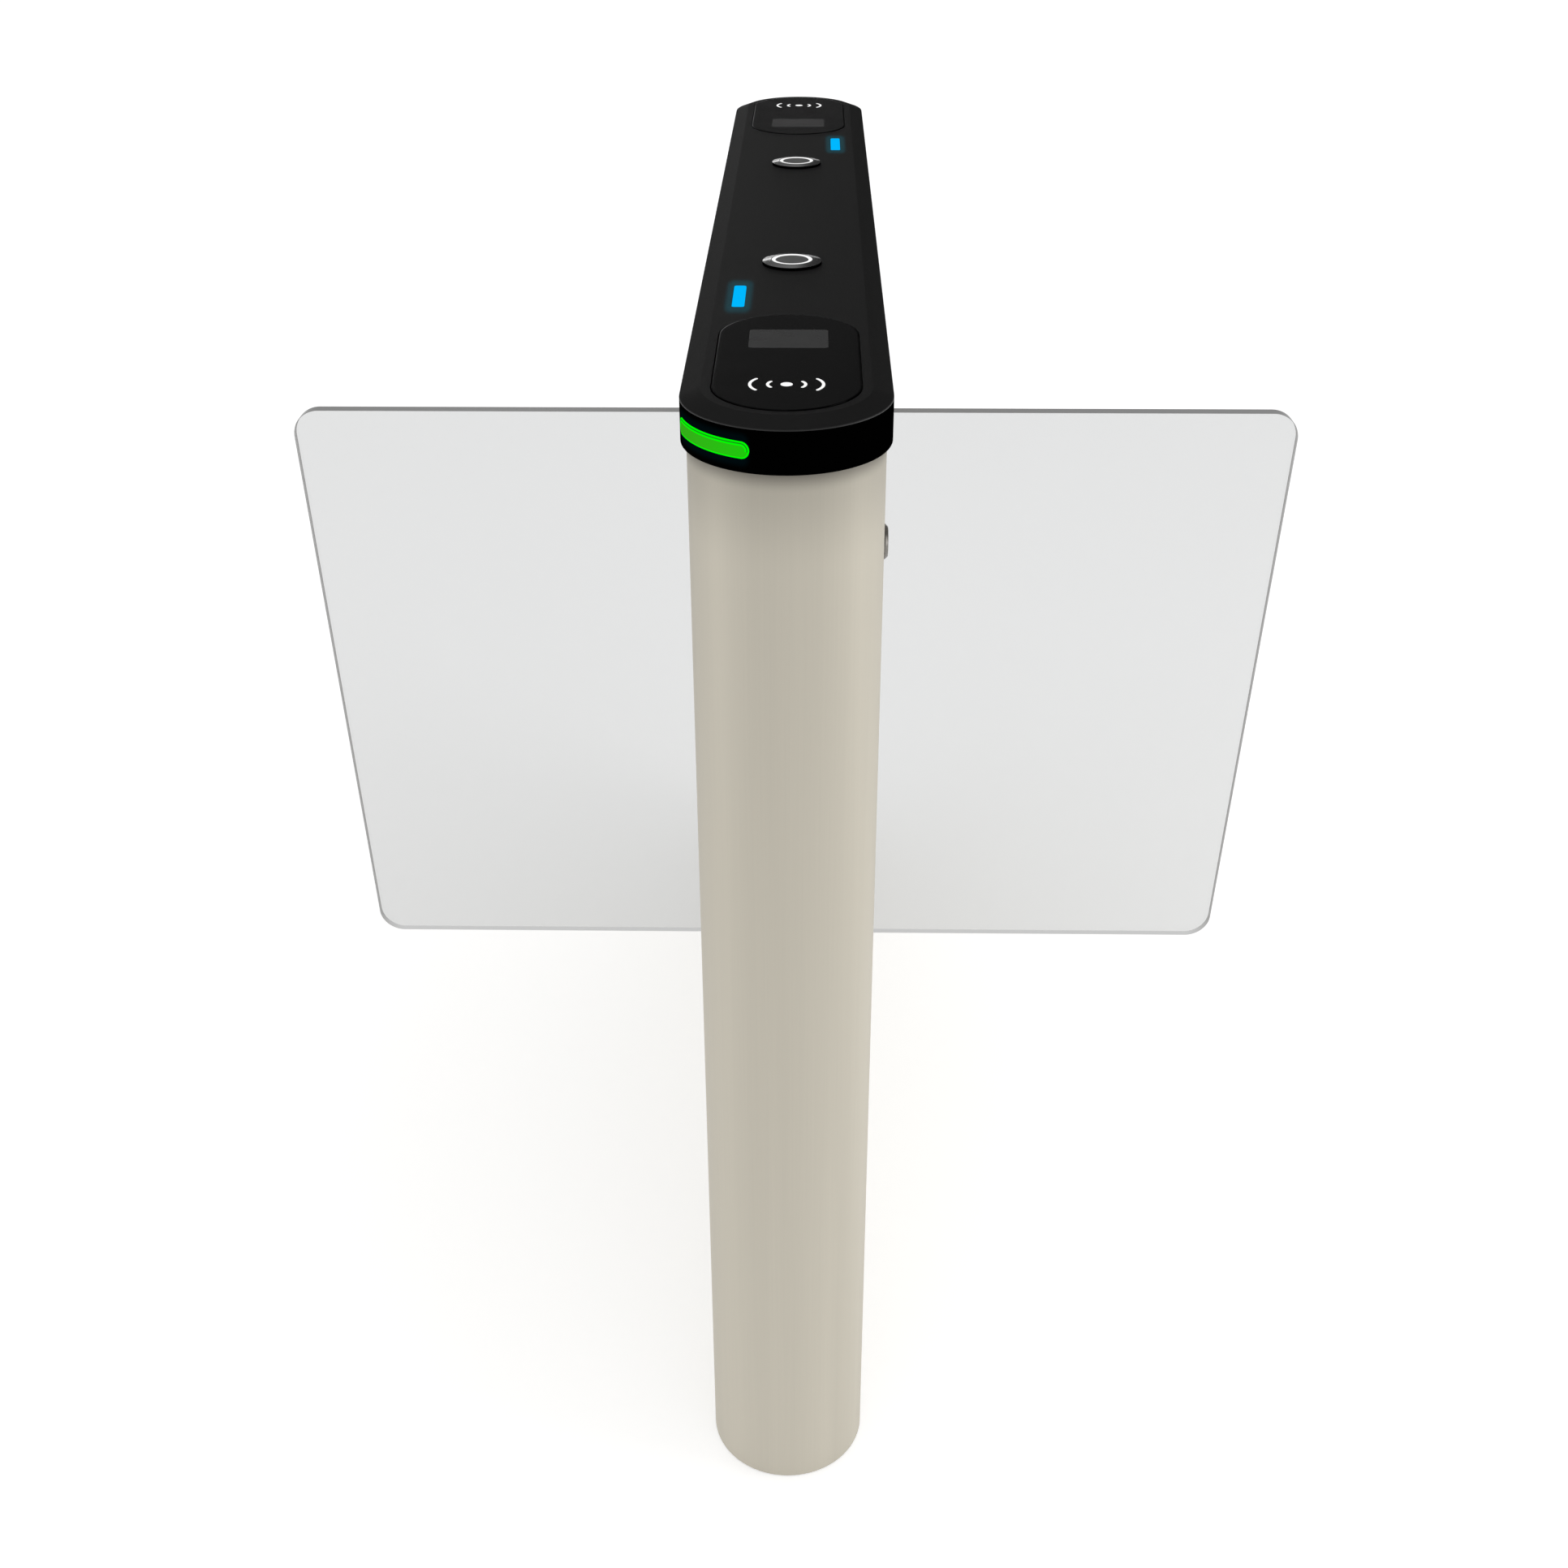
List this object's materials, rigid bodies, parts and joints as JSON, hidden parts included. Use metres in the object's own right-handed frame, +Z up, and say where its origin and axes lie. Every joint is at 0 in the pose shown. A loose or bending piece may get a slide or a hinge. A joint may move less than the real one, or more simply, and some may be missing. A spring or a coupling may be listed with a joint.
{
  "type": "swing speed gate",
  "caption": "Slim obround stainless pedestal with a black cap, lit push buttons, reader plates and a clear glass wing swinging out on each side to close an entrance lane.",
  "frame": {"origin": "on the floor, at the middle of the footprint", "axes": "+Z up, +Y along the gate from its front end to its rear end, +X across the lane to the right seen from the front end"},
  "size_m": [0.969, 1.162, 1.0035],
  "materials": {
    "stainless": "fine brushed stainless sheet, satin",
    "cap_black": "moulded, fine matt grain",
    "reader_black": "glossy black",
    "display_grey": "smoked window",
    "light_blue": "lit diffuser",
    "light_green": "lit diffuser",
    "light_white": "lit diffuser",
    "bezel_chrome": "polished",
    "button_steel": "fine turned face",
    "wing_glass": "clear tempered, polished edges",
    "rubber_black": "extruded, matt",
    "column_steel": "turned and brushed",
    "frame_grey": "powder coat, satin",
    "bracket_aluminium": "machined",
    "bush_bronze": "turned",
    "gear_steel": "hobbed, oiled",
    "motor_black": "satin",
    "board_green": "solder mask",
    "supply_aluminium": "folded sheet, satin",
    "switch_black": "moulded",
    "sensor_dark": "dark infrared lens",
    "lock_chrome": "dark polished",
    "fixing_zinc": "zinc plated"
  },
  "bodies": {
    "pedestal": {"base_plate": "frame_grey", "centre_post": "frame_grey", "front_post": "frame_grey", "rear_post": "frame_grey", "top_frame": "frame_grey", "electronics_plate": "frame_grey", "cap_pillars": "frame_grey", "front_shell": "stainless", "rear_shell": "stainless", "hinge_tray_right": "stainless", "hinge_tray_left": "stainless", "cap_shell": "cap_black", "cap_seal": "rubber_black", "reader_plate_front": "reader_black", "reader_plate_rear": "reader_black", "display_window_front": "display_grey", "display_window_rear": "display_grey", "reader_board_front": "board_green", "reader_board_rear": "board_green", "control_board": "board_green", "lane_lens_front": "light_blue", "lane_lens_rear": "light_blue", "light_strip_front": "light_green", "light_strip_rear": "light_green", "button_bezels": "bezel_chrome", "button_rings": "light_white", "button_switches": "switch_black", "button_nuts": "fixing_zinc", "lock_nuts": "fixing_zinc", "bracket_bolts": "fixing_zinc", "lock_bodies": "lock_chrome", "upper_bracket_right": "bracket_aluminium", "upper_bracket_left": "bracket_aluminium", "lower_bracket_right": "bracket_aluminium", "lower_bracket_left": "bracket_aluminium", "upper_bushes": "bush_bronze", "lower_bushes": "bush_bronze", "gearmotor_right": "motor_black", "gearmotor_left": "motor_black", "power_supply": "supply_aluminium", "beam_sensors": "sensor_dark"},
    "wing_right": {"wing_column_right": "column_steel", "wing_glass_right": "wing_glass", "glass_gasket_right": "rubber_black", "wing_gear_right": "gear_steel"},
    "drive_right": {"drive_gear_right": "gear_steel"},
    "lock_right": {"lock_plug_right": "lock_chrome", "lock_cam_right": "fixing_zinc"},
    "wing_left": {"wing_column_left": "column_steel", "wing_glass_left": "wing_glass", "glass_gasket_left": "rubber_black", "wing_gear_left": "gear_steel"},
    "drive_left": {"drive_gear_left": "gear_steel"},
    "lock_left": {"lock_plug_left": "lock_chrome", "lock_cam_left": "fixing_zinc"},
    "button_front": {"button_cap_front": "button_steel"},
    "button_rear": {"button_cap_rear": "button_steel"}
  },
  "joints": [
    {"name": "wing_right_swing", "type": "hinge", "parent": "pedestal", "child": "wing_right", "pos_m": [0.0765, 0, 0.5], "axis": [0, 0, 1], "range_deg": [-90, 90]},
    {"name": "drive_right_spin", "type": "hinge", "parent": "pedestal", "child": "drive_right", "pos_m": [0.049, 0, 0.167], "axis": [0, 0, 1], "range_deg": [-52, 52]},
    {"name": "lock_right_turn", "type": "hinge", "parent": "pedestal", "child": "lock_right", "pos_m": [0.068, -0.44, 0.86], "axis": [1, 0, 0], "range_deg": [0, 90]},
    {"name": "wing_left_swing", "type": "hinge", "parent": "pedestal", "child": "wing_left", "pos_m": [-0.0765, 0, 0.5], "axis": [0, 0, 1], "range_deg": [-90, 90]},
    {"name": "drive_left_spin", "type": "hinge", "parent": "pedestal", "child": "drive_left", "pos_m": [-0.049, 0, 0.167], "axis": [0, 0, 1], "range_deg": [-52, 52]},
    {"name": "lock_left_turn", "type": "hinge", "parent": "pedestal", "child": "lock_left", "pos_m": [-0.068, 0.44, 0.86], "axis": [-1, 0, 0], "range_deg": [0, 90]},
    {"name": "button_front_press", "type": "slide", "parent": "pedestal", "child": "button_front", "axis": [0, 0, -1], "range_m": [0, 0.0025], "stiffness_N_per_m": 1500, "springref_m": -0.002},
    {"name": "button_rear_press", "type": "slide", "parent": "pedestal", "child": "button_rear", "axis": [0, 0, -1], "range_m": [0, 0.0025], "stiffness_N_per_m": 1500, "springref_m": -0.002}
  ],
  "couplings": [
    {"joint": "drive_right_spin", "follows": "wing_right_swing", "ratio": -0.57143},
    {"joint": "drive_left_spin", "follows": "wing_left_swing", "ratio": -0.57143}
  ]
}
